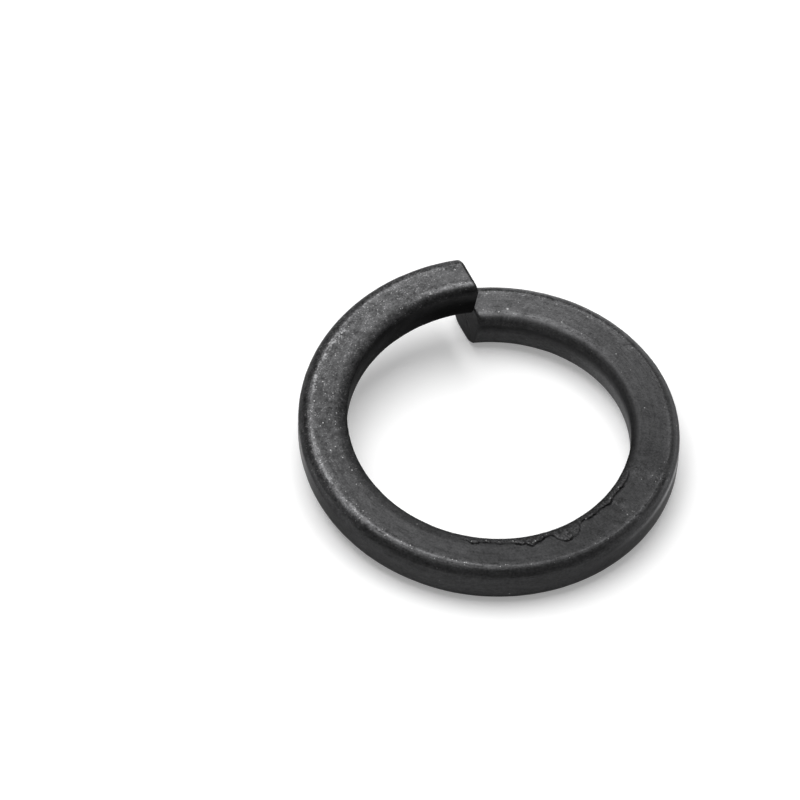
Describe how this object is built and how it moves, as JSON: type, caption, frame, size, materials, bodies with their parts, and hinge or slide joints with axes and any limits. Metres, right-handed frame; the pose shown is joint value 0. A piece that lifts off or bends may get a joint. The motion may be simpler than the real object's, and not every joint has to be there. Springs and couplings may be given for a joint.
{
  "type": "spring lock washer",
  "caption": "Heavy single-coil spring lock washer of square black-finished spring steel, with a 49 mm bore, lying flat at its free height.",
  "frame": {"origin": "on the bore axis, level with the lowest point of the low end", "axes": "+Z along the bore axis, from the low end to the raised end; the slit is on the +Y side and the coil climbs clockwise seen from +Z"},
  "size_m": [0.066, 0.066, 0.0172],
  "materials": {
    "black_steel": "oiled black oxide on spring steel"
  },
  "bodies": {
    "root": {"washer": "black_steel"}
  },
  "joints": []
}
